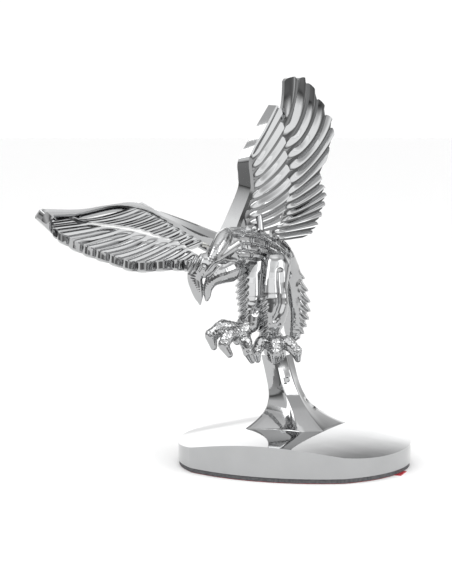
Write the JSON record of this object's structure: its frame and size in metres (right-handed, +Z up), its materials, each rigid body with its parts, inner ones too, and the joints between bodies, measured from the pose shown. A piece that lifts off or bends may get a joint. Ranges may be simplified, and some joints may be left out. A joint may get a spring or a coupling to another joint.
{
  "type": "hood ornament",
  "caption": "Chromed eagle with one wing raised and one spread, gripping a flared stem on a domed base with an adhesive foam underside.",
  "frame": {"origin": "on the underside of the release liner, straight below the foot of the stem; the middle of the base is 0.8 mm along +X and 3.1 mm along -Y from it", "axes": "+Z up; the bird heads toward -Y, so its left is +X; the raised wing is the bird's left wing and the level wing points toward -X"},
  "size_m": [0.1087, 0.0622, 0.1124],
  "materials": {
    "chrome_casting": "polished chrome plating on a zinc casting, bright on the ridges and darker in the grooves",
    "chrome_base": "mirror-bright chrome plating on a moulded shell, with faint handling marks",
    "black_plastic": "fine-grained black moulded plastic",
    "grey_foam": "closed-cell foam tape with open bubbles on its cut edge",
    "red_liner": "thin translucent red release film",
    "zinc_steel": "zinc-plated fasteners"
  },
  "bodies": {
    "ornament": {"foam_tape": "grey_foam", "base_shell": "chrome_base", "base_plate": "black_plastic", "base_plate_screws": "zinc_steel", "pedestal": "chrome_casting", "pedestal_screws": "zinc_steel", "pedestal_washers": "zinc_steel", "torso": "chrome_casting", "head": "chrome_casting", "left_wing": "chrome_casting", "right_wing": "chrome_casting", "tail": "chrome_casting", "left_leg": "chrome_casting", "right_leg": "chrome_casting", "left_foot": "chrome_casting", "right_foot": "chrome_casting", "neck_pin": "zinc_steel", "tail_pin": "zinc_steel", "left_hip_pin": "zinc_steel", "right_hip_pin": "zinc_steel", "left_wing_pin": "zinc_steel", "right_wing_pin": "zinc_steel", "perch_stud": "zinc_steel"},
    "liner": {"release_liner": "red_liner"}
  },
  "joints": [
    {"name": "liner_pull", "type": "slide", "parent": "ornament", "child": "liner", "axis": [1, 0, 0], "range_m": [0, 0.075]}
  ]
}
